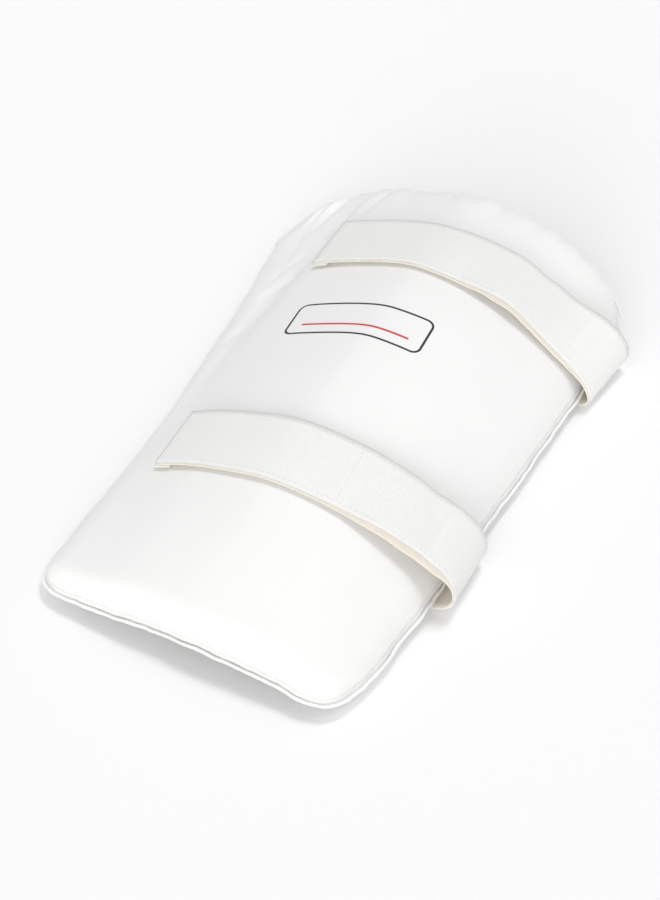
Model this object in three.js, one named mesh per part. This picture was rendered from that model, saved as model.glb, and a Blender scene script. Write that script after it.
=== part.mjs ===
// Cricket thigh guard: a padded shell with two elastic straps, lying on the straps with its outside up.
// Millimetres. X runs across the thigh, +Y from the knee end to the hip end and +Z up from the surface.
import * as THREE from 'three';

// Pad: the foam shell in its cover
const PAD_LENGTH = 400;
const PAD_WIDTH = 243;
const CREST_RISE = 39;
const FOAM_THICKNESS = 22;
const RIM_BELLY = 9.5;
const BACK_BELLY = 2;
const SIDE_ROLL = 14;
const KNEE_ROLL = 11;
const HIP_ROLL = 14;
const SIDE_FOAM_SHARE = 0.68;
const SIDE_REACH = 60;
const RIM_REACH = 34;

// Seam welt round the outline
const WELT_DIAMETER = 2.6;

// Straps and their closures
const STRAP_WIDTH = 46;
const FACE_THICKNESS = 0.8;
const LINING_THICKNESS = 0.6;
const PATCH_THICKNESS = 0.6;
const PATCH_MARGIN = 4;
const TAB_LENGTH = 10;
const TAB_OVERHANG = 2;
const GAP = 0.3;

// Gathers along the hip end
const GATHER_DEPTH = 1.6;
const GATHER_WIDTH = 5;
const GATHER_REACH = 26;

// Mesh fineness
const PAD_COLUMNS = 44;
const PAD_ROWS = 34;
const WELT_STEPS = 26;
const WELT_SIDES = 6;
const FRONT_STEPS = 22;
const BIGHT_STEPS = 16;
const FLOOR_STEPS = 2;
const STRAP_COLUMNS = 3;
const PATCH_STEPS = 12;
const SHARE_ROUNDS = 8;
const SLOPE_REACH = 1;

// Half widths of the outline, as shares of the pad's width; along runs from the knee end to the hip end.
const WIDTH_ROWS = [
  { along: 0, left: 0.433, right: 0.431 },
  { along: 0.5, left: 0.442, right: 0.464 },
  { along: 1, left: 0.52, right: 0.482 },
];

// Rise of the arch's crest above the side seams, as a share of the crest's rise.
const CREST_ROWS = [
  { along: 0, rise: 0.21 },
  { along: 1 / 3, rise: 0.765 },
  { along: 2 / 3, rise: 1.005 },
  { along: 1, rise: 0.84 },
];

// Thickness of the foam above the seam, as a share of the foam's thickness.
const FOAM_ROWS = [
  { along: 0, share: 0.82 },
  { along: 1 / 3, share: 1 },
  { along: 2 / 3, share: 1 },
  { along: 1, share: 0.82 },
];

// Fall of the arch from its crest to each side seam, as the two powers of its curve.
const FALL = {
  left: { across: 1.37, down: 1.41 },
  right: { across: 2.1, down: 1.18 },
};

// Rounding and slant of each end, as shares of the pad's length; a higher power rounds a shorter corner.
const KNEE_END = {
  bow: 0,
  slant: -0.0065,
  left: { inset: 0.034, power: 20 },
  right: { inset: 0.071, power: 12 },
};
const HIP_END = {
  bow: 0.0215,
  slant: 0.005,
  left: { inset: 0.122, power: 9 },
  right: { inset: 0.064, power: 9 },
};

// The sides draw in a little towards the corners, as a share of the half width.
const CORNER_EASE = 0.03;
const CORNER_EASE_POWER = 14;

// Valley beside the left rim: place across as a share of the half width, depth as a share of the foam.
const VALLEY_WIDTH = 9;
const VALLEY_ROWS = [
  { along: 0, across: -1.02, depth: 0 },
  { along: 0.2, across: -0.95, depth: 0.06 },
  { along: 0.4, across: -0.88, depth: 0.1 },
  { along: 0.7, across: -0.84, depth: 0.12 },
  { along: 0.82, across: -0.74, depth: 0.14 },
  { along: 1, across: -0.72, depth: 0.12 },
];

// Folds that fan out from the hip end's left corner, in the same shares.
const FOLD_WIDTH = 5;
const FOLD_ROWS = [
  { fromAcross: -0.57, fromAlong: 1, toAcross: -0.68, toAlong: 0.9, depth: 0.13 },
  { fromAcross: -0.7, fromAlong: 1, toAcross: -0.83, toAlong: 0.91, depth: 0.11 },
  { fromAcross: -0.88, fromAlong: 1, toAcross: -0.96, toAlong: 0.94, depth: 0.1 },
];

// Notches between the gathers of the hip end.
const GATHER_ROWS = [
  { across: -0.72, depth: 0.8 },
  { across: -0.58, depth: 1 },
  { across: -0.43, depth: 0.6 },
  { across: -0.3, depth: 0.8 },
  { across: -0.15, depth: 0.7 },
  { across: -0.01, depth: 0.9 },
  { across: 0.18, depth: 0.7 },
  { across: 0.32, depth: 0.6 },
  { across: 0.45, depth: 1 },
  { across: 0.6, depth: 0.7 },
  { across: 0.76, depth: 0.9 },
  { across: 0.88, depth: 0.6 },
];

// Straps: place of the near edge along the pad, free end and closure lengths as shares of the pad's width.
// Lifts are shares of the strap's width, at the near and the far edge; swing and fall shape the bight.
const STRAPS = [
  {
    name: 'lower',
    place: 0.2565,
    end: -0.314,
    hook: 0.5,
    loop: 0.36,
    near: { swing: 0.44, fall: 0.62 },
    far: { swing: 0.36, fall: 0.56 },
    lifts: [
      { across: 0, near: 0, far: 0 },
      { across: 0.2, near: 0, far: 0.01 },
      { across: 0.42, near: 0.03, far: 0.03 },
      { across: 0.67, near: 0.14, far: 0.06 },
      { across: 0.86, near: 0.22, far: 0.16 },
    ],
  },
  {
    name: 'upper',
    place: 0.744,
    end: -0.3,
    hook: 0.46,
    loop: 0.36,
    near: { swing: 0.42, fall: 0.5 },
    far: { swing: 0.52, fall: 0.62 },
    lifts: [
      { across: 0, near: 0, far: 0 },
      { across: 0.22, near: 0.01, far: 0.03 },
      { across: 0.42, near: 0.08, far: 0.055 },
      { across: 0.57, near: 0.1, far: 0.01 },
      { across: 0.73, near: 0.02, far: 0.02 },
      { across: 0.86, near: 0.01, far: 0.13 },
    ],
  },
];
const BIGHT_START = 0.86;
const TURN_UNDER = 9;
const UNDER_MARGIN = 12;

const STRAP_THICKNESS = FACE_THICKNESS + GAP + LINING_THICKNESS;
const HOOK_DEPTH = STRAP_THICKNESS + GAP;
const LOOP_TOP = GAP + PATCH_THICKNESS;
const STACK = LOOP_TOP + GAP + PATCH_THICKNESS + GAP + STRAP_THICKNESS;
const SEAM_INSET = WELT_DIAMETER + GAP;

const FINISHES = {
  cover: { color: 0xf4f4f2, roughness: 0.62 },
  welt: { color: 0xf0f0ee, roughness: 0.65 },
  face: { color: 0xf2f2ef, roughness: 0.7 },
  lining: { color: 0xe9dfce, roughness: 0.85 },
  hook: { color: 0xefece4, roughness: 0.85 },
  loop: { color: 0xefe9dd, roughness: 0.95 },
  tab: { color: 0xe5e2db, roughness: 0.85 },
};

const sideName = (across) => (across < 0 ? 'left' : 'right');
const mix = (a, b, share) => a + (b - a) * share;
const bell = (distance, width) => Math.exp(-((distance / width) ** 2));

function evenShares(steps, from, to) {
  return Array.from({ length: steps + 1 }, (_, k) => mix(from, to, k / steps));
}

function smooth(share) {
  const s = THREE.MathUtils.clamp(share, 0, 1);
  return s * s * (3 - 2 * s);
}

// Smooth curve through every row of a table.
function through(rows, key, along) {
  let total = 0;
  for (const row of rows) {
    let term = row[key];
    for (const other of rows) {
      if (other !== row) term *= (along - other.along) / (row.along - other.along);
    }
    total += term;
  }
  return total;
}

// Smooth steps from row to row, held at both ends.
function between(rows, by, key, at) {
  if (at <= rows[0][by]) return rows[0][key];
  for (let i = 1; i < rows.length; i += 1) {
    const [a, b] = [rows[i - 1], rows[i]];
    if (at <= b[by]) return mix(a[key], b[key], smooth((at - a[by]) / (b[by] - a[by])));
  }
  return rows.at(-1)[key];
}

// Pad outline
function halfWidth(across, along) {
  const ease = along ** CORNER_EASE_POWER + (1 - along) ** CORNER_EASE_POWER;
  return PAD_WIDTH * through(WIDTH_ROWS, sideName(across), along) * (1 - CORNER_EASE * ease);
}

function endInset(end, across) {
  const edge = Math.abs(across);
  const corner = end[sideName(across)];
  return PAD_LENGTH * (end.bow * edge ** 2 + corner.inset * edge ** corner.power + end.slant * across);
}

function gatherDepth(across) {
  const half = PAD_WIDTH / 2;
  const sum = GATHER_ROWS.reduce((total, row) => {
    return total + row.depth * bell((across - row.across) * half, GATHER_WIDTH);
  }, 0);
  return GATHER_DEPTH * sum;
}

const kneeEdge = (across) => endInset(KNEE_END, across);
const hipEdge = (across) => PAD_LENGTH - endInset(HIP_END, across) - gatherDepth(across) / 2;

function outlinePoint(across, along, inset) {
  const near = kneeEdge(across) + inset;
  const far = hipEdge(across) - inset;
  const x = across * (halfWidth(across, along) - inset);
  return { x, y: mix(near, far, along) };
}

// Share across and along at a place on the pad, found by a few rounds.
function sharesAt(x, y) {
  let along = y / PAD_LENGTH;
  let across = x / halfWidth(x, along);
  for (let round = 0; round < SHARE_ROUNDS; round += 1) {
    const [near, far] = [kneeEdge(across), hipEdge(across)];
    along = THREE.MathUtils.clamp((y - near) / (far - near), 0, 1);
    across = THREE.MathUtils.clamp(x / halfWidth(x, along), -1, 1);
  }
  return { across, along };
}

// Pad section
function archRise(across, along) {
  const fall = FALL[sideName(across)];
  const crest = CREST_RISE * through(CREST_ROWS, 'rise', along);
  return crest * (1 - Math.abs(across) ** fall.across) ** fall.down;
}

function roll(distance, radius) {
  const short = 1 - THREE.MathUtils.clamp(distance / radius, 0, 1);
  return Math.sqrt(1 - short * short);
}

function edgeRoll(across, along) {
  const span = hipEdge(across) - kneeEdge(across);
  const fromSide = (1 - Math.abs(across)) * halfWidth(across, along);
  return roll(fromSide, SIDE_ROLL) * roll(along * span, KNEE_ROLL) * roll((1 - along) * span, HIP_ROLL);
}

function foamRise(across, along) {
  const fromSide = (1 - Math.abs(across)) * halfWidth(across, along);
  const share = mix(SIDE_FOAM_SHARE, 1, smooth(fromSide / SIDE_REACH));
  return FOAM_THICKNESS * through(FOAM_ROWS, 'share', along) * share * edgeRoll(across, along);
}

function bellyDrop(across, along) {
  const fromSide = (1 - Math.abs(across)) * halfWidth(across, along);
  const belly = mix(RIM_BELLY, BACK_BELLY, smooth(fromSide / RIM_REACH));
  return belly * through(FOAM_ROWS, 'share', along) * edgeRoll(across, along);
}

// Distance in the flat pad from a place to a fold's line, in millimetres.
function foldDistance(row, across, along) {
  const half = PAD_WIDTH / 2;
  const from = new THREE.Vector2(row.fromAcross * half, row.fromAlong * PAD_LENGTH);
  const to = new THREE.Vector2(row.toAcross * half, row.toAlong * PAD_LENGTH);
  const place = new THREE.Vector2(across * half, along * PAD_LENGTH).sub(from);
  const line = to.sub(from);
  const share = THREE.MathUtils.clamp(place.dot(line) / line.lengthSq(), 0, 1);
  return { distance: place.sub(line.multiplyScalar(share)).length(), share };
}

function creaseDepth(across, along) {
  const valleyAcross = between(VALLEY_ROWS, 'along', 'across', along);
  const valleyDepth = between(VALLEY_ROWS, 'along', 'depth', along);
  let depth = valleyDepth * bell((across - valleyAcross) * halfWidth(across, along), VALLEY_WIDTH);
  for (const row of FOLD_ROWS) {
    const { distance, share } = foldDistance(row, across, along);
    depth += row.depth * bell(distance, FOLD_WIDTH) * (1 - smooth(share));
  }
  const fromHip = (1 - along) * PAD_LENGTH;
  const gathers = gatherDepth(across) * (1 - smooth(fromHip / GATHER_REACH));
  return (FOAM_THICKNESS * depth + gathers) * edgeRoll(across, along);
}

const acrossStation = (i) => Math.sin(Math.PI * (i / PAD_COLUMNS - 0.5));
const alongStation = (j) => (1 - Math.cos((Math.PI * j) / PAD_ROWS)) / 2;

// The pad seats on the straps that pass under it: its lowest point clears them by the gap.
function seamHeight() {
  let lowest = 0;
  for (let i = 0; i <= PAD_COLUMNS; i += 1) {
    for (let j = 0; j <= PAD_ROWS; j += 1) {
      const [across, along] = [acrossStation(i), alongStation(j)];
      lowest = Math.min(lowest, archRise(across, along) - bellyDrop(across, along));
    }
  }
  return STRAP_THICKNESS + GAP - lowest;
}
const SEAM_HEIGHT = seamHeight();

const plainTop = (across, along) => SEAM_HEIGHT + archRise(across, along) + foamRise(across, along);
const padTop = (across, along) => plainTop(across, along) - creaseDepth(across, along);
const padUnderside = (across, along) => SEAM_HEIGHT + archRise(across, along) - bellyDrop(across, along);

// Mesh helpers
function meshOf(name, finish, points, faces) {
  const geometry = new THREE.BufferGeometry();
  const flat = points.flatMap((p) => [p.x, p.y, p.z]);
  geometry.setAttribute('position', new THREE.Float32BufferAttribute(flat, 3));
  geometry.setIndex(faces.flat());
  geometry.computeVertexNormals();
  const material = new THREE.MeshStandardMaterial({ ...finish, metalness: 0 });
  const mesh = new THREE.Mesh(geometry, material);
  mesh.name = name;
  return mesh;
}

// Closed sheet between an upper and a lower grid of points, both [row][column].
function sheetMesh(name, finish, upper, lower) {
  const rows = upper.length;
  const columns = upper[0].length;
  const points = [...upper.flat(), ...lower.flat()];
  const top = (i, j) => i * columns + j;
  const under = (i, j) => rows * columns + top(i, j);
  const faces = [];
  const quad = (a, b, c, d) => faces.push([a, b, c], [a, c, d]);
  for (let i = 0; i < rows - 1; i += 1) {
    for (let j = 0; j < columns - 1; j += 1) {
      quad(top(i, j), top(i + 1, j), top(i + 1, j + 1), top(i, j + 1));
      quad(under(i, j), under(i, j + 1), under(i + 1, j + 1), under(i + 1, j));
    }
    quad(top(i, 0), under(i, 0), under(i + 1, 0), top(i + 1, 0));
    quad(top(i, columns - 1), top(i + 1, columns - 1), under(i + 1, columns - 1), under(i, columns - 1));
  }
  for (let j = 0; j < columns - 1; j += 1) {
    quad(top(0, j), top(0, j + 1), under(0, j + 1), under(0, j));
    quad(top(rows - 1, j), under(rows - 1, j), under(rows - 1, j + 1), top(rows - 1, j + 1));
  }
  return meshOf(name, finish, points, faces);
}

// Pad: two grids that share their rim, which is the seam line.
function makePad() {
  const points = [];
  const faces = [];
  const numbers = { top: [], under: [] };
  for (let i = 0; i <= PAD_COLUMNS; i += 1) {
    numbers.top.push([]);
    numbers.under.push([]);
    for (let j = 0; j <= PAD_ROWS; j += 1) {
      const [across, along] = [acrossStation(i), alongStation(j)];
      const { x, y } = outlinePoint(across, along, SEAM_INSET);
      const rim = i === 0 || j === 0 || i === PAD_COLUMNS || j === PAD_ROWS;
      points.push(new THREE.Vector3(x, y, padTop(across, along)));
      numbers.top[i].push(points.length - 1);
      if (!rim) points.push(new THREE.Vector3(x, y, padUnderside(across, along)));
      numbers.under[i].push(points.length - 1);
    }
  }
  const quad = (a, b, c, d) => faces.push([a, b, c], [a, c, d]);
  for (let i = 0; i < PAD_COLUMNS; i += 1) {
    for (let j = 0; j < PAD_ROWS; j += 1) {
      const { top, under } = numbers;
      quad(top[i][j], top[i + 1][j], top[i + 1][j + 1], top[i][j + 1]);
      quad(under[i][j], under[i][j + 1], under[i + 1][j + 1], under[i + 1][j]);
    }
  }
  return meshOf('pad', FINISHES.cover, points, faces);
}

// Welt: a thin round bead that follows the seam line all the way round.
function weltPath() {
  const path = [];
  const place = (across, along) => {
    const { x, y } = outlinePoint(across, along, WELT_DIAMETER / 2);
    path.push(new THREE.Vector3(x, y, SEAM_HEIGHT + archRise(across, along)));
  };
  const ease = (k) => Math.sin(Math.PI * (k / WELT_STEPS - 0.5));
  for (let k = 0; k < WELT_STEPS; k += 1) place(ease(k), 0);
  for (let k = 0; k < WELT_STEPS; k += 1) place(1, (1 + ease(k)) / 2);
  for (let k = 0; k < WELT_STEPS; k += 1) place(-ease(k), 1);
  for (let k = 0; k < WELT_STEPS; k += 1) place(-1, (1 - ease(k)) / 2);
  return path;
}

function makeWelt() {
  const path = weltPath();
  const count = path.length;
  const points = [];
  const faces = [];
  const up = new THREE.Vector3(0, 0, 1);
  for (let k = 0; k < count; k += 1) {
    const ahead = path[(k + 1) % count].clone().sub(path[(k + count - 1) % count]).normalize();
    const out = ahead.clone().cross(up).normalize();
    const rise = out.clone().cross(ahead);
    for (let n = 0; n < WELT_SIDES; n += 1) {
      const turn = (2 * Math.PI * n) / WELT_SIDES;
      const point = path[k].clone();
      point.addScaledVector(out, (Math.cos(turn) * WELT_DIAMETER) / 2);
      point.addScaledVector(rise, (Math.sin(turn) * WELT_DIAMETER) / 2);
      points.push(point);
    }
  }
  for (let k = 0; k < count; k += 1) {
    for (let n = 0; n < WELT_SIDES; n += 1) {
      const next = (n + 1) % WELT_SIDES;
      const [a, b] = [k * WELT_SIDES, ((k + 1) % count) * WELT_SIDES];
      faces.push([a + n, b + n, b + next], [a + n, b + next, a + next]);
    }
  }
  return meshOf('edge_welt', FINISHES.welt, points, faces);
}

// Straps
// Pad surface at a place, with the normal of its section across the thigh.
function seatAt(x, y) {
  const height = (at) => {
    const { across, along } = sharesAt(at, y);
    return plainTop(across, along);
  };
  const slope = (height(x + SLOPE_REACH) - height(x - SLOPE_REACH)) / (2 * SLOPE_REACH);
  const normal = new THREE.Vector2(-slope, 1).normalize();
  return { place: new THREE.Vector2(x, height(x)), normal };
}

const strapY = (strap, share) => PAD_LENGTH * strap.place + STRAP_WIDTH * share;
const rimAt = (across, y) => halfWidth(across, sharesAt(0, y).along);

// Line over the front of the pad from one place across to another, at its own height above the pad.
function frontLine(strap, share, from, to, steps, heightOf) {
  const y = strapY(strap, share);
  const rim = rimAt(1, y);
  return evenShares(steps, from, to).map((x) => {
    const near = between(strap.lifts, 'across', 'near', x / rim);
    const far = between(strap.lifts, 'across', 'far', x / rim);
    const { place, normal } = seatAt(x, y);
    return place.addScaledVector(normal, heightOf(STRAP_WIDTH * mix(near, far, share)));
  });
}

// Outer face of a strap on one line across the thigh: front, bight and the stretch along the surface.
function strapLine(strap, share) {
  const y = strapY(strap, share);
  const rim = rimAt(1, y);
  const innerEnd = UNDER_MARGIN - rimAt(-1, y);
  const [start, leave] = [PAD_WIDTH * strap.end, rim * BIGHT_START];
  const front = frontLine(strap, share, start, leave, FRONT_STEPS, (lift) => STACK + lift);
  const [before, last] = front.slice(-2);
  const heading = last.clone().sub(before).normalize();
  const fall = STRAP_WIDTH * mix(strap.near.fall, strap.far.fall, share);
  const swing = STRAP_WIDTH * mix(strap.near.swing, strap.far.swing, share);
  const bight = new THREE.CubicBezierCurve(
    last,
    last.clone().addScaledVector(heading, fall),
    new THREE.Vector2(rim + swing, 0),
    new THREE.Vector2(rim - TURN_UNDER, 0),
  );
  const floor = evenShares(FLOOR_STEPS, rim - TURN_UNDER, innerEnd).map((x) => new THREE.Vector2(x, 0));
  return { y, line: [...front, ...bight.getPoints(BIGHT_STEPS).slice(1), ...floor.slice(1)] };
}

// Points of a line moved towards the pad by a depth.
function movedIn(line, depth) {
  return line.map((point, k) => {
    const ahead = line[Math.min(k + 1, line.length - 1)].clone().sub(line[Math.max(k - 1, 0)]).normalize();
    return point.clone().add(new THREE.Vector2(ahead.y, -ahead.x).multiplyScalar(depth));
  });
}

function layerMesh(name, finish, lines, depth, thickness) {
  const grid = (inward) => lines.map(({ y, line }) => {
    return movedIn(line, inward).map((p) => new THREE.Vector3(p.x, y, p.y));
  });
  return sheetMesh(name, finish, grid(depth + thickness), grid(depth));
}

// Short tape on the front of a strap, between two shares of the strap's width.
function tapeMesh(name, finish, strap, shares, from, to, heightOf) {
  const lines = shares.map((share) => {
    return { y: strapY(strap, share), line: frontLine(strap, share, from, to, PATCH_STEPS, heightOf) };
  });
  return layerMesh(name, finish, lines, 0, PATCH_THICKNESS);
}

function makeStrap(strap) {
  const lines = evenShares(STRAP_COLUMNS, 0, 1).map((share) => strapLine(strap, share));
  const start = PAD_WIDTH * strap.end;
  const margin = PATCH_MARGIN / STRAP_WIDTH;
  const inner = [margin, 1 - margin];
  const tabShares = [-TAB_OVERHANG / STRAP_WIDTH, TAB_LENGTH / STRAP_WIDTH];
  const hookTop = (lift) => STACK - HOOK_DEPTH + lift;
  const [tabEnd, hookStart] = [start + TAB_LENGTH, start + TAB_LENGTH + GAP];
  const [hookEnd, loopEnd] = [start + PAD_WIDTH * strap.hook, start + PAD_WIDTH * strap.loop];
  return [
    layerMesh(`${strap.name}_strap`, FINISHES.face, lines, 0, FACE_THICKNESS),
    layerMesh(`${strap.name}_strap_lining`, FINISHES.lining, lines, FACE_THICKNESS + GAP, LINING_THICKNESS),
    tapeMesh(`${strap.name}_hook_patch`, FINISHES.hook, strap, inner, hookStart, hookEnd, hookTop),
    tapeMesh(`${strap.name}_loop_patch`, FINISHES.loop, strap, inner, start, loopEnd, () => LOOP_TOP),
    tapeMesh(`${strap.name}_end_tab`, FINISHES.tab, strap, tabShares, start, tabEnd, hookTop),
  ];
}

// The frame's origin is under the middle of the guard, on the surface that it lies on.
const guard = new THREE.Group();
guard.add(makePad(), makeWelt(), ...STRAPS.flatMap(makeStrap));
const middle = new THREE.Box3().setFromObject(guard).getCenter(new THREE.Vector3());
guard.position.set(-middle.x, -middle.y, 0);

export default guard;
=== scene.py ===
import math

import bmesh
import bpy
from bpy.props import FloatProperty, FloatVectorProperty, IntProperty, PointerProperty
from mathutils import Matrix, Vector, noise
from mathutils.bvhtree import BVHTree
from mathutils.kdtree import KDTree


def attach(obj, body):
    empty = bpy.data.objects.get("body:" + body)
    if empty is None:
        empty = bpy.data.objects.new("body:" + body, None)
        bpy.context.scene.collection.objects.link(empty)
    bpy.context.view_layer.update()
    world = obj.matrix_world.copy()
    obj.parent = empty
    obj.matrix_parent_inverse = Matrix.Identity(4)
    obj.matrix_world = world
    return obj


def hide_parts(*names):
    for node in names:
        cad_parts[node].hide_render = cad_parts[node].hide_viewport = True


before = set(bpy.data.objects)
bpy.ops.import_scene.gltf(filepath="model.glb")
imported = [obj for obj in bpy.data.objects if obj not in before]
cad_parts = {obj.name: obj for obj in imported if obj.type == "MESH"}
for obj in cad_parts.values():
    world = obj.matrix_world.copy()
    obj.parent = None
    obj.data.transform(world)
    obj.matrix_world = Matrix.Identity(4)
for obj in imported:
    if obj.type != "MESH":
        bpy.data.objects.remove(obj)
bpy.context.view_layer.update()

bl_info = {
    "name": "Padded thigh guard",
    "version": (1, 0, 0),
    "blender": (4, 5, 0),
    "location": "View3D > Sidebar > Thigh guard",
    "description": "Dresses the frame of a padded thigh guard in its cover, welt, straps and tapes",
    "category": "Object",
}

MM = 0.001
STRAP_NAMES = ("lower", "upper")

# Vertices of a node's loose triangles that lie closer than this are one, in metres.
WELD = 2e-5

# Edges of the straps and tapes that turn more than this stay sharp.
SHARP = math.radians(55)

# The vector noise takes its start from this seed, so that every run puckers the rim alike.
SEED = 7
noise.seed_set(SEED)

# Folds that fan out from the hip end's left corner, then three along the left wing, in millimetres.
# A positive depth is a groove and a negative one a ridge. Each fades along its line.
FOLDS = (
    # from x, from y, to x, to y, width, depth
    (-60, 203, -74, 150, 2.0, 2.6),
    (-67, 202, -80, 160, 1.8, -1.2),
    (-73, 202, -87, 150, 2.0, 2.8),
    (-81, 200, -96, 158, 1.8, -1.2),
    (-87, 198, -102, 146, 2.0, 2.6),
    (-97, 193, -110, 150, 1.8, 2.2),
    (-106, 186, -116, 146, 1.8, 1.8),
    (-113, 176, -121, 138, 1.8, 1.4),
    (-96, 120, -110, 84, 2.6, 1.1),
    (-92, 96, -106, 66, 2.4, 0.9),
    (-98, 40, -108, 8, 2.6, 0.8),
)

# Puckers of the hip end, in millimetres: place along X, depth, and reach inwards.
PUCKERS = (
    # x, depth, reach
    (-52, 3.2, 34),
    (-36, 2.5, 27),
    (-20, 3.2, 36),
    (-3, 2.8, 28),
    (17, 3.5, 38),
    (31, 2.3, 26),
    (46, 3.5, 36),
    (62, 2.8, 30),
    (77, 3.2, 34),
    (91, 2.8, 28),
    (103, 2.5, 26),
)

# Line where the cloth steps down to the pad's left wing, in millimetres, and how far it steps.
VALLEY = (
    # x, y, step
    (-100, -150, 0.3),
    (-97, -110, 0.9),
    (-92, -40, 1.8),
    (-90, 20, 2.3),
    (-88, 80, 3.4),
    (-85, 128, 4.6),
    (-83, 160, 4.6),
    (-80, 199, 3.2),
)
VALLEY_EASE = 2.6

# How much fuller the stuffed edge stands than the solid, in millimetres.
LEFT_FULLNESS = (
    # place along Y, outwards
    (-200, 3.4), (-181, 4.0), (-160, 2.9), (-139, 3.1), (-115, 2.2), (-70, 1.4), (-40, 1.0), (0, 1.6),
    (25, 2.2), (60, 1.2), (97, 1.2), (123, 2.0), (147, 4.0), (171, 6.0), (200, 5.0),
)
HIP_FULLNESS = (
    # place along X, outwards, upwards
    (-112, 3.2, 3.0), (-76, 3.0, 3.6), (-58, 2.6, 3.0), (-39, 1.6, 1.6), (-16, 1.8, 2.0), (1, 2.2, 2.6),
    (21, 2.2, 2.2), (41, 2.8, 3.2), (64, 2.8, 3.2), (84, 3.6, 4.0), (108, 4.0, 3.0),
)
RIGHT_FULLNESS = (
    # place along Y, outwards; none where the straps turn
    (-200, 3.2), (-178, 1.8), (-152, 1.4), (-131, 0.2), (-112, 0.8), (-99, 0.0), (148, 0.3),
    (166, 2.6), (176, 3.6), (200, 3.0),
)
KNEE_FULLNESS = (
    # place along X, outwards
    (-200, 0.0), (58, 0.0), (88, 3.0), (110, 2.6),
)

# Where the edge's fullness sets in, in millimetres: place and the run over which it grows.
HIP_EDGE = (150, 38)
KNEE_EDGE = (-150, 40)
LEFT_EDGE = (-60, 40)
RIGHT_EDGE = (60, 40)

# How the cover's forms set in beside its sewn edge, in millimetres.
PUCKERS_FROM = 130
PUCKERS_RISE = 70
FLAT_RIM = 4
VALLEY_RISE = 18
FULLNESS_RISE = 12
RIPPLE_RISE = 20
SEWN_REACH = 9
SNUG_REACH = 2.4
SNUG_DEPTH = 0.5

# Where the small creases of the left wing set in, in millimetres: place and run, along X and along Y.
CREASES_X = (-62, 30)
CREASES_Y = (-130, 120)

# Bends of the straps over the pad's shoulder, in millimetres.
BENDS = (
    # from x, from y, to x, to y, width, depth
    (57, 96, 53, 146, 6, -0.5),
    (70, 96, 66, 146, 5, 0.8),
    (92, -99, 72, -49, 6, -0.4),
    (104, -99, 84, -49, 5, 0.8),
)

# How far each elastic's near edge hangs below its strap where that stands off the pad, in
# millimetres: place along X, fall.
HANG = {
    "lower_strap_lining": ((22, 0.0), (44, 0.9), (66, 2.6), (90, 3.6), (104, 3.2), (114, 1.4), (120, 0.4)),
    "upper_strap_lining": ((18, 0.0), (36, 0.8), (54, 2.0), (70, 2.0), (90, 1.5), (108, 1.0), (120, 0.3)),
}
HANG_REACH = 10
HANG_RISE = 12

# The straps run over the pad above this height and turn under below it, in millimetres.
OVER_PAD = 20

# Vertices of a strap's square end lie within this of each other along X, in millimetres.
END_DEPTH = 1.5

# The straps' unevenness sets in over this run above the floor, in millimetres.
SWAY_FROM = 4
SWAY_RISE = 20

# How far the elastic stands out from under the strap's near edge, in millimetres, and over what width.
ELASTIC_EDGE = 0.7
ELASTIC_EDGE_REACH = 3

# The hook tape's row of stitches lies this far inside its end, in millimetres.
TAPE_INSET = 2

# A row of stitches across a strap follows its surface in this many steps.
ROW_STEPS = 8

# Pitches of the weaves, ribs and twists, in millimetres.
COVER_WEAVE = 0.9
FACE_WEAVE = 0.8
ELASTIC_WEAVE = 0.7
ELASTIC_RIBS = 1.3
WELT_RIDGES = 1.5
THREAD_TWIST = 0.5

# The plain print, a blank name box with a writing line, in millimetres and degrees.
PRINT_LEAN = 3
PRINT_SHAPES = (
    # middle x, middle y, half length, half height, corner, line width (0 is filled), ink
    (-16, 43, 45, 14.5, 5.0, 1.5, "dark"),
    (-16, 37, 36, 0.8, 0.8, 0.0, "warm"),
)
PRINT_SOFTNESS = 0.12

# The studio: floor's half size in metres, camera's target in millimetres, its sensor's height in
# millimetres, and a height in metres from which every ray down meets the guard.
FLOOR_SIZE = 12
CAMERA_TARGET = (-3.71, -18.81, 12)
SENSOR_HEIGHT = 36
ABOVE_ALL = 0.2

# The sky darkens to a share of its strength between two directions along X, on the guard's left.
SKY_COLOUR = (0.985, 0.99, 1.0, 1.0)
SKY_SHARE = 0.58
SKY_FROM = -0.8
SKY_TO = 0.1

LAMPS = (
    # name, property of its strength, softness in degrees, direction towards it, tint
    ("key", "key_strength", 20, (0.04, 0.36, 1.0), (1.0, 1.0, 1.0)),
    ("front", "front_strength", 55, (0.06, -1.0, 0.42), (1.0, 1.0, 1.0)),
    ("low", "low_strength", 30, (0.2, -1.0, 0.16), (1.0, 0.95, 0.88)),
)


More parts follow.
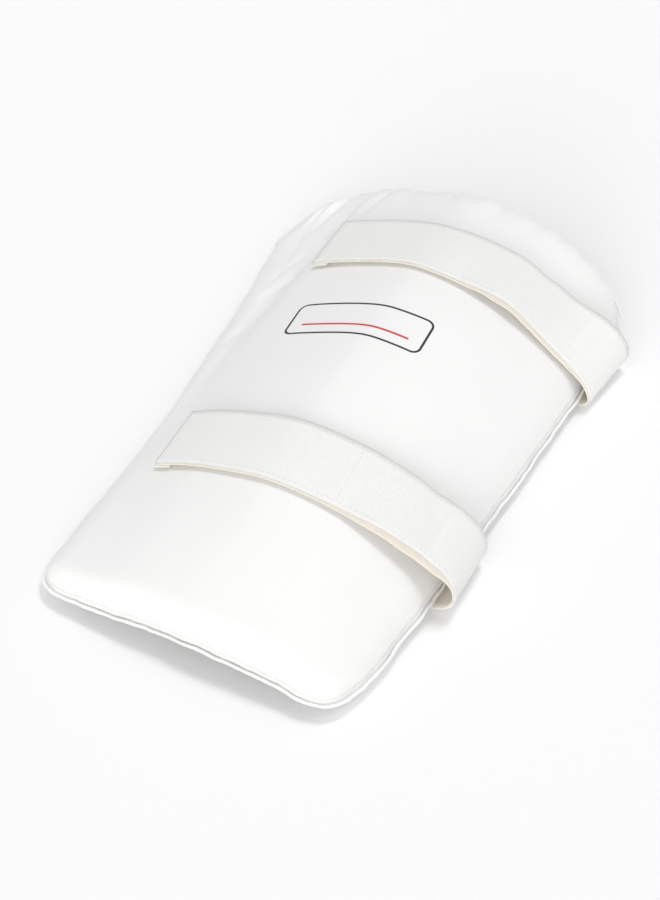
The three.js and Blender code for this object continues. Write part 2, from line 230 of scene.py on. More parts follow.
class GuardSizes(bpy.types.PropertyGroup):
    """Sizes of the guard's sewing and cloth."""

    pucker_width: FloatProperty(
        name="Pucker width", description="Half width of one pucker of the hip end",
        default=3.0 * MM, unit="LENGTH",
    )
    cover_ripple: FloatProperty(
        name="Cover ripple", description="Height of the slow unevenness of the padded cover",
        default=0.35 * MM, unit="LENGTH",
    )
    cover_refinement: IntProperty(
        name="Cover refinement", description="Subdivision levels of the cover",
        default=2, min=1, max=3,
    )
    welt_slimming: FloatProperty(
        name="Welt slimming", description="How far the stitches pull the welt in all round",
        default=0.15 * MM, unit="LENGTH",
    )
    seam_inset: FloatProperty(
        name="Seam inset", description="Distance of the topstitching from the welt",
        default=3.0 * MM, unit="LENGTH",
    )
    stitch_length: FloatProperty(
        name="Stitch length", description="Length of one stitch", default=2.6 * MM, unit="LENGTH",
    )
    stitch_gap: FloatProperty(
        name="Stitch gap", description="Gap between two stitches", default=1.0 * MM, unit="LENGTH",
    )
    thread: FloatProperty(
        name="Thread", description="Thickness of the sewing thread",
        default=0.32 * MM, unit="LENGTH",
    )
    hem: FloatProperty(
        name="Hem", description="Distance of a strap's stitching from its edges",
        default=2.6 * MM, unit="LENGTH",
    )


class GuardColours(bpy.types.PropertyGroup):
    """Colours of the guard's cloths and of the stage."""

    cover: FloatVectorProperty(
        name="Cover", description="Cloth over the padding", subtype="COLOR", size=3,
        default=(0.915, 0.915, 0.905),
    )
    face: FloatVectorProperty(
        name="Strap face", description="Outer cloth of the straps", subtype="COLOR", size=3,
        default=(0.96, 0.96, 0.942),
    )
    lining: FloatVectorProperty(
        name="Strap lining", description="Elastic lining of the straps", subtype="COLOR", size=3,
        default=(0.96, 0.9, 0.8),
    )
    tape: FloatVectorProperty(
        name="Tape", description="Hook and loop tapes", subtype="COLOR", size=3,
        default=(0.9, 0.87, 0.8),
    )
    thread: FloatVectorProperty(
        name="Thread", description="Sewing thread", subtype="COLOR", size=3,
        default=(0.83, 0.83, 0.81),
    )
    warm_print: FloatVectorProperty(
        name="Warm print", description="Writing line printed on the cover", subtype="COLOR", size=3,
        default=(0.62, 0.035, 0.035),
    )
    dark_print: FloatVectorProperty(
        name="Dark print", description="Outline of the name box printed on the cover",
        subtype="COLOR", size=3, default=(0.018, 0.018, 0.02),
    )
    floor: FloatVectorProperty(
        name="Floor", description="Studio floor", subtype="COLOR", size=3,
        default=(0.965, 0.965, 0.965),
    )


class GuardStage(bpy.types.PropertyGroup):
    """Camera and light."""

    azimuth: FloatProperty(
        name="Azimuth", description="Camera's turn from the knee end", default=math.radians(27.63),
        subtype="ANGLE",
    )
    elevation: FloatProperty(
        name="Elevation", description="Camera's angle above the floor", default=math.radians(45.15),
        subtype="ANGLE",
    )
    distance: FloatProperty(
        name="Distance", description="Camera's distance from its target",
        default=1.485, unit="LENGTH",
    )
    lens: FloatProperty(
        name="Lens", description="Focal length on a 36 mm high sensor", default=96.98, min=1,
    )
    key_strength: FloatProperty(
        name="Key light", description="Strength of the light overhead", default=0.98, min=0,
    )
    front_strength: FloatProperty(
        name="Front light", description="Strength of the soft light in front", default=0.95, min=0,
    )
    low_strength: FloatProperty(
        name="Low light", description="Strength of the light under the straps", default=0.6, min=0,
    )
    sky_strength: FloatProperty(
        name="Sky", description="Strength of the studio's fill", default=0.65, min=0,
    )


class Wire:
    """A shader socket that sums and products can be written with."""

    def __init__(self, finish, socket):
        self.finish = finish
        self.socket = socket

    def maths(self, operation, *values):
        """Adds one Math node and returns its result."""
        node = self.finish.node("ShaderNodeMath", {"operation": operation}, dict(enumerate(values)))
        return Wire(self.finish, node.outputs[0])

    def __add__(self, other):
        return self.maths("ADD", self, other)

    def __radd__(self, other):
        return self.maths("ADD", other, self)

    def __sub__(self, other):
        return self.maths("SUBTRACT", self, other)

    def __rsub__(self, other):
        return self.maths("SUBTRACT", other, self)

    def __mul__(self, other):
        return self.maths("MULTIPLY", self, other)

    def __rmul__(self, other):
        return self.maths("MULTIPLY", other, self)

    def __abs__(self):
        return self.maths("ABSOLUTE", self)

    def wave(self, pitch):
        """A sine wave along the value, with a pitch in millimetres."""
        return self.maths("SINE", self * (math.tau / (pitch * MM)))

    def at_most(self, other):
        """The smaller of the value and another."""
        return self.maths("MINIMUM", self, other)

    def at_least(self, other):
        """The larger of the value and another."""
        return self.maths("MAXIMUM", self, other)

    def power(self, other):
        """The value raised to a power."""
        return self.maths("POWER", self, other)

    def ramp(self, low, high):
        """0 below low, 1 above high, straight between them."""
        sockets = {0: self, 1: low, 2: high, 3: 0.0, 4: 1.0}
        node = self.finish.node("ShaderNodeMapRange", {"clamp": True}, sockets)
        return Wire(self.finish, node.outputs[0])

    def line(self, place, width):
        """1 on a line where the value equals place, fading to 0 at width from it."""
        return 1 - abs(self - place).ramp(0, width)


class Finish:
    """A Principled material built with node maths."""

    def __init__(self, name, roughness, sheen=0.0, shine=0.3):
        self.material = bpy.data.materials.new(name)
        self.material.use_nodes = True
        self.tree = self.material.node_tree
        self.shader = self.tree.nodes["Principled BSDF"]
        self.shader.inputs["Roughness"].default_value = roughness
        self.shader.inputs["Sheen Weight"].default_value = sheen
        self.shader.inputs["Specular IOR Level"].default_value = shine

    def node(self, kind, settings=None, sockets=None):
        """Adds a node: its settings first, then the values or links of its sockets."""
        node = self.tree.nodes.new(kind)
        for name, value in (settings or {}).items():
            setattr(node, name, value)
        for key, value in (sockets or {}).items():
            if isinstance(value, Wire):
                self.tree.links.new(value.socket, node.inputs[key])
            else:
                node.inputs[key].default_value = value
        return node

    def wire(self, node, output=0):
        """One of a node's results as a wire."""
        return Wire(self, node.outputs[output])

    def place(self):
        """Object coordinates, as a vector wire and its three parts."""
        vector = self.wire(self.node("ShaderNodeTexCoord"), "Object")
        parts = self.node("ShaderNodeSeparateXYZ", sockets={0: vector})
        return vector, [self.wire(parts, i) for i in range(3)]

    def run(self):
        """The piece's own map: metres along and across it."""
        uv = self.wire(self.node("ShaderNodeUVMap", {"uv_map": "run"}))
        parts = self.node("ShaderNodeSeparateXYZ", sockets={0: uv})
        return self.wire(parts, 0), self.wire(parts, 1)

    def attribute(self, name):
        """A number that the piece's mesh holds for each vertex."""
        return self.wire(self.node("ShaderNodeAttribute", {"attribute_name": name}), "Fac")

    def noise(self, vector, scale, detail=2.0):
        """Soft noise from 0 to 1."""
        sockets = {"Vector": vector, "Scale": scale, "Detail": detail, "Roughness": 0.5}
        return self.wire(self.node("ShaderNodeTexNoise", sockets=sockets), "Fac")

    def cells(self, vector, scale):
        """Distance from the middle of the nearest of many small cells."""
        sockets = {"Vector": vector, "Scale": scale}
        return self.wire(self.node("ShaderNodeTexVoronoi", sockets=sockets), "Distance")

    def blend(self, share, first, second):
        """Mixes two colours."""
        node = self.node("ShaderNodeMix", {"data_type": "RGBA"}, {0: share, 6: first, 7: second})
        return self.wire(node, 2)

    def bump(self, height, distance, strength=1.0, onto=None):
        """A normal that follows a height, on top of another normal if one is given."""
        sockets = {"Height": height, "Distance": distance, "Strength": strength}
        if onto is not None:
            sockets["Normal"] = onto
        return self.wire(self.node("ShaderNodeBump", sockets=sockets), "Normal")

    def feed(self, **wires):
        """Links wires to the shader's sockets of the same names, and returns the material."""
        for socket, wire in wires.items():
            self.tree.links.new(wire.socket, self.shader.inputs[socket.replace("_", " ").title()])
        return self.material


def colour(values):
    """A colour as a shader takes it."""
    return (*values, 1.0)


def shade(values, share):
    """A share of a colour's light."""
    return (*(channel * share for channel in values), 1.0)


def settings():
    """The sizes and the colours that the user can change."""
    scene = bpy.context.scene
    return scene.guard_sizes, scene.guard_colours


def cover_finish():
    """White coated cloth with a fine grain, a seam line by the welt with painted shade in its dent and in
    the groove against the welt, and a blank printed name box.
    """
    sizes, colours = settings()
    finish = Finish("cover", 0.55, sheen=0.12, shine=0.35)
    vector, (x, y, _) = finish.place()
    weave = x.wave(COVER_WEAVE) * y.wave(COVER_WEAVE)
    grain = finish.noise(vector, 900, 3)
    slow = finish.noise(vector, 22, 2)
    seam = finish.attribute("rim").line(sizes.seam_inset, 0.9 * MM)
    # Painted shade in the groove where the cover meets the welt.
    welt_groove_shade = finish.attribute("rim").line(0.6 * MM, 1.2 * MM)
    plain = finish.blend(slow, shade(colours.cover, 0.985), colour(colours.cover))
    # Painted shade: the cloth is darkened along the stitched seam's dent and in the groove against the
    # welt.
    sewn = finish.blend(seam * 0.06 + welt_groove_shade * 0.02, plain, shade(colours.cover, 0.72))
    printed = printed_box(finish, x, y, sewn)
    height = grain * 0.6 + weave * 0.25 + slow * 0.4
    normal = finish.bump(height, 0.12 * MM, 0.6)
    normal = finish.bump(1 - seam, 0.5 * MM, 0.8, normal)
    return finish.feed(base_color=printed, normal=normal, roughness=grain * 0.1 + 0.52)


def printed_box(finish, x, y, ground):
    """Lays the plain print over a ground colour."""
    _, colours = settings()
    inks = {"warm": colour(colours.warm_print), "dark": colour(colours.dark_print)}
    turn = math.radians(PRINT_LEAN)
    for middle_x, middle_y, half_length, half_height, corner, line, ink in PRINT_SHAPES:
        along = (x - middle_x * MM) * math.cos(turn) + (y - middle_y * MM) * math.sin(turn)
        across = (y - middle_y * MM) * math.cos(turn) - (x - middle_x * MM) * math.sin(turn)
        past_end = abs(along) - (half_length - corner) * MM
        past_side = abs(across) - (half_height - corner) * MM
        outside = (past_end.at_least(0).power(2) + past_side.at_least(0).power(2)).power(0.5)
        distance = outside + past_end.at_least(past_side).at_most(0) - corner * MM
        reach = abs(distance) - line / 2 * MM if line else distance
        mask = 1 - reach.ramp(-PRINT_SOFTNESS * MM, PRINT_SOFTNESS * MM)
        ground = finish.blend(mask, ground, inks[ink])
    return ground


def band_finish(name, tone, weave_pitch, ribs, roughness):
    """Woven band, with its tint and its normal: a fine weave, and ribs if it has any."""
    finish = Finish(name, roughness, sheen=0.2, shine=0.25)
    along, across = finish.run()
    vector, _ = finish.place()
    warp = across.wave(weave_pitch)
    weft = along.wave(weave_pitch)
    rib = abs(along.wave(2 * ribs)) if ribs else weft
    fuzz = finish.noise(vector, 1100, 2)
    slow = finish.noise(vector, 60, 2)
    shaded = finish.blend(warp * weft * 0.5 + 0.5, shade(tone, 0.94), colour(tone))
    tinted = finish.blend(slow * 0.35, shaded, shade(tone, 0.95))
    height = warp * weft * 0.5 + rib * 0.5 + fuzz * 0.5
    return finish, tinted, finish.bump(height, 0.16 * MM, 0.7)


def face_finish():
    """Outer cloth of a strap, dented where its hems are sewn, with painted shade along the dents."""
    sizes, colours = settings()
    finish, tone, normal = band_finish("strap_face", colours.face, FACE_WEAVE, 0, 0.68)
    hem = finish.attribute("edge").line(sizes.hem, 0.7 * MM)
    dented = finish.bump(1 - hem, 0.3 * MM, 0.6, normal)
    # Painted shade: the face is darkened along the hems' dents.
    tone = finish.blend(hem * 0.08, tone, shade(colours.face, 0.85))
    return finish.feed(base_color=tone, normal=dented)


def lining_finish():
    """Cream elastic with fine ribs across it."""
    _, colours = settings()
    finish, tone, normal = band_finish(
        "strap_lining", colours.lining, ELASTIC_WEAVE, ELASTIC_RIBS, 0.85,
    )
    return finish.feed(base_color=tone, normal=normal)


def tape_finish(name, scale, tone_share):
    """Hook or loop tape: a fine nap."""
    _, colours = settings()
    finish = Finish(name, 0.9, sheen=0.3)
    vector, _ = finish.place()
    nap = finish.cells(vector, scale)
    light, dark = shade(colours.tape, tone_share), shade(colours.tape, tone_share * 0.85)
    tone = finish.blend(nap, light, dark)
    return finish.feed(base_color=tone, normal=finish.bump(nap, 0.3 * MM, 0.8))


def welt_finish():
    """Rolled seam with slanting overlock ridges, painted lighter on their crests and darker in their
    grooves.
    """
    _, colours = settings()
    finish = Finish("welt", 0.6, sheen=0.15)
    vector, (x, y, z) = finish.place()
    ridge = (x + y + z).wave(WELT_RIDGES) * 0.5 + 0.5
    grain = finish.noise(vector, 1200, 2)
    # Painted highlight and shade: the ridges' crests are lighter and their grooves darker than the cloth.
    tone = finish.blend(ridge, shade(colours.cover, 0.98), shade(colours.cover, 1.03))
    normal = finish.bump(ridge * 0.6 + grain * 0.4, 0.15 * MM, 0.6)
    return finish.feed(base_color=tone, normal=normal)


def thread_finish():
    """Twisted polyester thread, with painted shade in the grooves of its twist."""
    _, colours = settings()
    finish = Finish("thread", 0.45, sheen=0.1)
    _, (x, y, _) = finish.place()
    twist = (x - y).wave(THREAD_TWIST) * 0.5 + 0.5
    # Painted shade: the thread is darker in the grooves between the twist's crests.
    tone = finish.blend(twist, shade(colours.thread, 0.9), colour(colours.thread))
    return finish.feed(base_color=tone, normal=finish.bump(twist, 0.05 * MM, 0.5))


def floor_finish():
    """Pale studio floor with hardly any grain."""
    _, colours = settings()
    finish = Finish("floor", 0.9, shine=0.1)
    vector, _ = finish.place()
    tone = finish.blend(finish.noise(vector, 3), shade(colours.floor, 0.995), colour(colours.floor))
    return finish.feed(base_color=tone)


def quads_of(node):
    """The node's mesh with its loose triangles merged and joined into quads."""
    shape = bmesh.new()
    shape.from_mesh(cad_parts[node].data)
    bmesh.ops.remove_doubles(shape, verts=shape.verts, dist=WELD)
    bmesh.ops.join_triangles(
        shape, faces=shape.faces, angle_face_threshold=math.pi, angle_shape_threshold=math.pi,
    )
    return shape


def piece_from(shape, name, material, slot, *nodes):
    """Makes an object of a bmesh, and has it ride and stand for its nodes."""
    mesh = bpy.data.meshes.new(name)
    shape.to_mesh(mesh)
    shape.free()
    piece = bpy.data.objects.new(name, mesh)
    bpy.context.scene.collection.objects.link(piece)
    mesh.materials.append(material)
    mesh.polygons.foreach_set("use_smooth", [True] * len(mesh.polygons))
    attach(piece, "root")
    if nodes:
        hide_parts(*nodes)
    return piece


def refine(piece, levels, uv_smooth="PRESERVE_BOUNDARIES"):
    """Subdivides a piece smoothly and keeps the result as its mesh."""
    modifier = piece.modifiers.new("refine", "SUBSURF")
    modifier.levels = modifier.render_levels = levels
    modifier.uv_smooth = uv_smooth
    return settle(piece)


def settle(piece):
    """Applies a piece's modifiers."""
    graph = bpy.context.evaluated_depsgraph_get()
    mesh = bpy.data.meshes.new_from_object(piece.evaluated_get(graph))
    old = piece.data
    piece.modifiers.clear()
    piece.data = mesh
    mesh.name = piece.name
    bpy.data.meshes.remove(old)
    return piece


def float_attribute(mesh, name, values):
    """Gives each vertex a number that a material can read."""
    layer = mesh.attributes.new(name, "FLOAT", "POINT")
    layer.data.foreach_set("value", values)


def places_and_normals(mesh):
    """Every vertex's place and normal, read once before anything moves."""
    normals = [vertex.normal.copy() for vertex in mesh.vertices]
    return zip([vertex.co.copy() for vertex in mesh.vertices], normals)


def surface_of(mesh):
    """A mesh's surface, for nearest points and rays."""
    return BVHTree.FromPolygons(
        [vertex.co.copy() for vertex in mesh.vertices],
        [tuple(face.vertices) for face in mesh.polygons],
    )


def crease_corners(shape):
    """Keeps a band's corners sharp when it is refined."""
    layer = shape.edges.layers.float.new("crease_edge")
    for edge in shape.edges:
        if len(edge.link_faces) == 2 and edge.calc_face_angle() > SHARP:
            edge[layer] = 1.0


def clamped(value):
    """The value, held between 0 and 1."""
    return min(1.0, max(0.0, value))


def eased(value):
    """A smooth step from 0 to 1."""
    value = clamped(value)
    return value * value * (3 - 2 * value)


def beyond(place, start, run):
    """How far a place is past a start, as a share of a run; negative before it."""
    return (place - start) / run


def table_at(rows, place):
    """A table's values at a place, smoothly between its rows."""
    if place <= rows[0][0]:
        return rows[0][1:]
    for before, after in zip(rows, rows[1:]):
        if place <= after[0]:
            share = eased((place - before[0]) / (after[0] - before[0]))
            return tuple(low + (high - low) * share for low, high in zip(before[1:], after[1:]))
    return rows[-1][1:]


def fullness(place, rise):
    """Shift of the stuffed edge at a place; rise is the share of the upward part."""
    x, y = place.x / MM, place.y / MM
    aside, = table_at(LEFT_FULLNESS, y)
    out, up = table_at(HIP_FULLNESS, x)
    right, = table_at(RIGHT_FULLNESS, y)
    knee, = table_at(KNEE_FULLNESS, x)
    hip = eased(beyond(y, *HIP_EDGE))
    sideways = right * eased(beyond(x, *RIGHT_EDGE)) - aside * eased(-beyond(x, *LEFT_EDGE))
    lengthways = out * hip - knee * eased(-beyond(y, *KNEE_EDGE))
    return Vector((sideways, lengthways, up * hip * rise)) * MM


def bell(distance, width):
    """1 in the middle, fading on both sides over a width."""
    return math.exp(-((distance / width) ** 2))


def fold_depth(x, y):
    """Depth of the fanned folds at a place, in metres."""
    total = 0.0
    for from_x, from_y, to_x, to_y, width, depth in FOLDS:
        start = Vector((from_x, from_y)) * MM
        line = Vector((to_x, to_y)) * MM - start
        place = Vector((x, y)) - start
        share = clamped(place.dot(line) / line.length_squared)
        distance = (place - line * share).length
        total += depth * MM * bell(distance, width * MM) * (1 - share) ** 0.6
    return total


class Gathers:
    """Small gathers that run in from the sewn edge all round the cover."""

    REACH = 24 * MM
    HEIGHT = 0.62 * MM
    STEP = 0.8 * MM

    def __init__(self):
        shape = quads_of("edge_welt")
        line = [stop for stop, _ in evenly(ring_line(shape), self.STEP)]
        shape.free()
        self.radius = len(line) * self.STEP / math.tau
        self.turns = [math.tau * index / len(line) for index in range(len(line))]
        self.tree = KDTree(len(line))
        for index, stop in enumerate(line):
            self.tree.insert(stop, index)
        self.tree.balance()

    def rise_at(self, place, distance):
        """Height of the gathers at a place."""
        if distance > self.REACH:
            return 0.0
        _, index, _ = self.tree.find(place)
        turn = self.turns[index]
        round_rim = Vector((math.cos(turn), math.sin(turn), 0.0)) * self.radius
        spot = round_rim + Vector((0.0, 0.0, distance * 0.2))
        patchy = 0.35 + 0.65 * abs(noise.noise(spot * 14 + Vector((2, 7, 1)))) * 2
        return noise.noise(spot * 125) * self.HEIGHT * patchy * (1 - distance / self.REACH) ** 1.3


def rim_pucker(place):
    """Shift of the sewn edge at a place, shared by all that is sewn into it."""
    slow = noise.noise_vector(place * 85)
    quick = noise.noise_vector(place * 190 + Vector((5, 2, 9)))
    return slow * 0.75 * MM + quick * 0.35 * MM


def valley_depth(x, y):
    """How much deeper the cloth lies on the left wing at a place, in metres."""
    for (from_x, from_y, from_depth), (to_x, to_y, to_depth) in zip(VALLEY, VALLEY[1:]):
        if from_y * MM <= y < to_y * MM:
            share = (y / MM - from_y) / (to_y - from_y)
            past = (from_x + (to_x - from_x) * share) - x / MM
            depth = from_depth + (to_depth - from_depth) * share
            return depth * MM / (1 + math.exp(-past / VALLEY_EASE))
    return 0.0


def wing_creases(x, y):
    """Height of the small creases along the left wing, in metres."""
    share = clamped(-beyond(x / MM, *CREASES_X)) * clamped(beyond(y / MM, *CREASES_Y))
    along = noise.noise(Vector((x * 70 + y * 8, y * 21, 3.1)))
    across = noise.noise(Vector((x * 38, y * 75, 8.4)))
    return (along * 0.75 + across * 0.3) * share * MM


def pucker_depth(x, from_edge):
    """Depth of the hip end's puckers at a place, in metres."""
    sizes, _ = settings()
    total = 0.0
    for middle, depth, reach in PUCKERS:
        fade = max(0.0, 1 - from_edge / (reach * MM))
        lean = (middle * MM) * (1 - 0.12 * from_edge / (reach * MM))
        total += depth * MM * bell(x - lean, sizes.pucker_width) * fade
    return total


def evenly(line, step):
    """Points a step apart along a line, each with the direction there."""
    stops = []
    reached = step / 2
    passed = 0.0
    for start, end in zip(line, line[1:]):
        length = (end - start).length
        while reached <= passed + length and length > 0:
            stops.append((start.lerp(end, (reached - passed) / length), (end - start) / length))
            reached += step
        passed += length
    return stops


def one_stitch():
    """A rounded stitch that lies along X, as points and faces."""
    sizes, _ = settings()
    shape = bmesh.new()
    size = Matrix.Diagonal((sizes.stitch_length / 2, sizes.thread * 0.6, sizes.thread * 0.55, 1.0))
    bmesh.ops.create_uvsphere(shape, u_segments=8, v_segments=6, radius=1.0, matrix=size)
    points = [vertex.co.copy() for vertex in shape.verts]
    faces = [[vertex.index for vertex in face.verts] for face in shape.faces]
    shape.free()
    return points, faces


def sew(rows, name, material, slot, surface):
    """Makes a piece of stitches that follow lines on a surface."""
    sizes, _ = settings()
    points, faces = one_stitch()
    places = []
    corners = []
    pitch = sizes.stitch_length + sizes.stitch_gap
    for place, heading in (stop for row in rows for stop in evenly(row, pitch)):
        seat, normal, _, _ = surface.find_nearest(place)
        along = (heading - normal * heading.dot(normal)).normalized()
        turn = Matrix((along, normal.cross(along), normal)).transposed()
        corners += [[index + len(places) for index in face] for face in faces]
        places += [seat + turn @ point for point in points]
    mesh = bpy.data.meshes.new(name)
    mesh.from_pydata(places, [], corners)
    shape = bmesh.new()
    shape.from_mesh(mesh)
    bpy.data.meshes.remove(mesh)
    return piece_from(shape, name, material, slot)


def ring_line(shape):
    """One line of vertices right round a tube, from its highest vertex."""
    start = max(shape.verts, key=lambda vertex: vertex.co.z)
    edge = max(start.link_edges, key=lambda option: option.calc_length())
    line = [start]
    while True:
        vertex = edge.other_vert(line[-1])
        if vertex is start:
            return [item.co.copy() for item in line] + [start.co.copy()]
        line.append(vertex)
        beside = set(edge.link_faces)
        onward = [option for option in vertex.link_edges if not beside & set(option.link_faces)]
        if not onward or len(line) > len(shape.verts):
            raise RuntimeError("the welt isn't a tube of quads")
        edge = onward[0]


def seam_line(inset, surface):
    """The topstitching's line on the cover, a distance inside the welt."""
    shape = quads_of("edge_welt")
    outer = [place + fullness(place, 0) for place in ring_line(shape)]
    shape.free()
    line = []
    for before, here, after in zip([outer[-2]] + outer, outer, outer[1:] + [outer[1]]):
        ahead = (after - before).to_2d().normalized()
        inward = Vector((-ahead.y, ahead.x))
        if inward.dot(here.to_2d()) > 0:
            inward = -inward
        spot = here.to_2d() + inward * inset
        seat, _, _, _ = surface.ray_cast(Vector((*spot, ABOVE_ALL)), Vector((0, 0, -1)))
        line.append(seat if seat else here)
    return line


def line_across(lines, share):
    """The line along a strap at a share of its width, between its rows of vertices."""
    place = share * (len(lines) - 1)
    row = min(int(place), len(lines) - 2)
    return [low.lerp(high, place - row) for low, high in zip(lines[row], lines[row + 1])]


def cut(line, first, last):
    """The part of a line between two distances along it."""
    part = []
    passed = 0.0
    for start, end in zip(line, line[1:]):
        length = (end - start).length
        if passed + length >= first and passed <= last and length > 0:
            low = max(0.0, (first - passed) / length)
            high = min(1.0, (last - passed) / length)
            part += [start.lerp(end, low), start.lerp(end, high)]
        passed += length
    return part


class GUARD_OT_stage(bpy.types.Operator):
    """Builds the floor, the light and the camera."""

    bl_idname = "guard.stage"
    bl_label = "Stage"

    def execute(self, context):
        stage = context.scene.guard_stage
        shape = bmesh.new()
        bmesh.ops.create_grid(shape, x_segments=2, y_segments=2, size=FLOOR_SIZE)
        mesh = bpy.data.meshes.new("floor")
        shape.to_mesh(mesh)
        shape.free()
        floor = bpy.data.objects.new("floor", mesh)
        context.scene.collection.objects.link(floor)
        mesh.materials.append(floor_finish())
        self.light(context, stage)
        self.camera(context, stage)
        return {"FINISHED"}

    def light(self, context, stage):
        """Lights the stage with a sky that is darker on the guard's left, and with distant lamps."""
        world = bpy.data.worlds.new("studio")
        context.scene.world = world
        world.use_nodes = True
        tree = world.node_tree
        background = tree.nodes["Background"]
        background.inputs["Color"].default_value = SKY_COLOUR
        place = tree.nodes.new("ShaderNodeTexCoord")
        parts = tree.nodes.new("ShaderNodeSeparateXYZ")
        side = tree.nodes.new("ShaderNodeMapRange")
        strengths = (stage.sky_strength * SKY_SHARE, stage.sky_strength)
        for key, value in enumerate((SKY_FROM, SKY_TO, *strengths), start=1):
            side.inputs[key].default_value = value
        tree.links.new(place.outputs["Generated"], parts.inputs[0])
        tree.links.new(parts.outputs[0], side.inputs[0])
        tree.links.new(side.outputs[0], background.inputs["Strength"])
        for name, strength, softness, towards, tint in LAMPS:
            self.lamp(context, name, getattr(stage, strength), softness, towards, tint)
        context.scene.view_settings.view_transform = "Standard"

    def lamp(self, context, name, strength, softness, towards, tint):
        """Adds a distant lamp, which looks as wide as the degrees of its softness."""
        lamp = bpy.data.lights.new(name, "SUN")
        lamp.color = tint
        lamp.energy = strength
        lamp.angle = math.radians(softness)
        sun = bpy.data.objects.new(name, lamp)
        sun.rotation_euler = Vector(towards).to_track_quat("Z", "Y").to_euler()
        context.scene.collection.objects.link(sun)

    def camera(self, context, stage):
        """Places the camera round its target by its angles and distance."""
        lens = bpy.data.cameras.new("camera")
        lens.sensor_fit = "VERTICAL"
        lens.sensor_height = SENSOR_HEIGHT
        lens.lens = stage.lens
        lens.clip_start = 0.05
        camera = bpy.data.objects.new("camera", lens)
        flat = math.cos(stage.elevation)
        back = Vector((
            math.sin(stage.azimuth) * flat,
            -math.cos(stage.azimuth) * flat,
            math.sin(stage.elevation),
        ))
        camera.location = Vector(CAMERA_TARGET) * MM + back * stage.distance
        camera.rotation_euler = back.to_track_quat("Z", "Y").to_euler()
        context.scene.collection.objects.link(camera)
        context.scene.camera = camera


def dressed_place(place, normal, distance, gathers):
    """Where a point of the solid pad lies in the sewn cover; distance is its own from the welt."""
    sizes, _ = settings()
    x, y = place.x, place.y
    from_edge = max(0.0, distance - FLAT_RIM * MM)
    depth = fold_depth(x, y) * min(1.0, from_edge / (FLAT_RIM * MM) + 0.3)
    depth += pucker_depth(x, from_edge) * clamped(beyond(y / MM, PUCKERS_FROM, PUCKERS_RISE))
    depth += valley_depth(x, y) * min(1.0, from_edge / (VALLEY_RISE * MM))
    ripple = noise.noise(Vector((x, y, 0.0)) * 26) * sizes.cover_ripple + wing_creases(x, y)
    inward = depth * clamped((normal.z + 0.5) * 1.5)
    inward += ripple * min(1.0, distance / (RIPPLE_RISE * MM))
    inward -= bell(distance, SNUG_REACH * MM) * SNUG_DEPTH * MM * clamped(normal.z + 0.3)
    inward -= gathers.rise_at(place, distance)
    sewn = clamped(1 - distance / (SEWN_REACH * MM)) * clamped(normal.z + 1)
    rise = min(1.0, distance / (FULLNESS_RISE * MM)) * eased(normal.z + 1)
    return place - normal * inward + rim_pucker(place) * sewn + fullness(place, rise)


class GUARD_OT_cover(bpy.types.Operator):
    """Makes the padded shell in its sewn cover."""

    bl_idname = "guard.cover"
    bl_label = "Cover"

    def execute(self, context):
        sizes, _ = settings()
        piece = piece_from(quads_of("pad"), "guard_pad", cover_finish(), "cover", "pad")
        refine(piece, sizes.cover_refinement)
        mesh = piece.data
        welt = surface_of(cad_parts["edge_welt"].data)
        gathers = Gathers()
        rims = []
        places = []
        for place, normal in places_and_normals(mesh):
            _, _, _, distance = welt.find_nearest(place)
            rims.append(distance)
            places.extend(dressed_place(place, normal, distance, gathers))
        mesh.vertices.foreach_set("co", places)
        float_attribute(mesh, "rim", rims)
        return {"FINISHED"}


class GUARD_OT_welt(bpy.types.Operator):
    """Makes the rolled seam round the cover."""

    bl_idname = "guard.welt"
    bl_label = "Welt"

    def execute(self, context):
        sizes, _ = settings()
        piece = piece_from(quads_of("edge_welt"), "guard_welt", welt_finish(), "welt", "edge_welt")
        refine(piece, 3)
        places = []
        for place, normal in places_and_normals(piece.data):
            slimmer = normal * sizes.welt_slimming
            places.extend(place - slimmer + rim_pucker(place) + fullness(place, 0))
        piece.data.vertices.foreach_set("co", places)
        return {"FINISHED"}


def strap_rows(shape):
    """The strap's vertices as closed runs round it, from its free end, one for each row along it."""
    rows = {}
    for vertex in shape.verts:
        rows.setdefault(round(vertex.co.y, 4), []).append(vertex)
    runs = []
    for place in sorted(rows):
        row = set(rows[place])
        over = [vertex for vertex in row if vertex.co.z > OVER_PAD * MM]
        end_x = min(vertex.co.x for vertex in over)
        corner = [vertex for vertex in over if vertex.co.x < end_x + END_DEPTH * MM]
        start = max(corner, key=lambda vertex: vertex.co.z)
        runs.append(closed_run(start, row))
    return runs


def closed_run(start, row):
    """A row's vertices in order round the strap, each step as straight on as it can be."""
    run = [start]
    seen = {start}
    heading = Vector((1, 0, 0))
    while True:
        options = [edge.other_vert(run[-1]) for edge in run[-1].link_edges]
        options = [vertex for vertex in options if vertex in row and vertex not in seen]
        if not options:
            return run
        here = run[-1].co
        onward = max(options, key=lambda vertex: (vertex.co - here).normalized().dot(heading))
        heading = (onward.co - here).normalized()
        run.append(onward)
        seen.add(onward)


def map_strap(shape):
    """Gives a strap its own map: metres along it from the free end, and metres across it."""
    runs = strap_rows(shape)
    low = runs[0][0].co.y
    along = {}
    for run in runs:
        outer = len(run) // 2
        total = 0.0
        lengths = [0.0]
        for k in range(1, len(run)):
            total += (run[k].co - run[k - 1].co).length
            lengths.append(total)
        for k, vertex in enumerate(run):
            along[vertex] = lengths[k] if k < outer else lengths[outer] - (lengths[k] - lengths[outer])
    layer = shape.loops.layers.uv.new("run")
    for face in shape.faces:
        for loop in face.loops:
            loop[layer].uv = (along.get(loop.vert, 0.0), loop.vert.co.y - low)
    lengths = [max(along[v] for v in run) for run in runs]
    return sum(lengths) / len(lengths), runs[-1][0].co.y - low


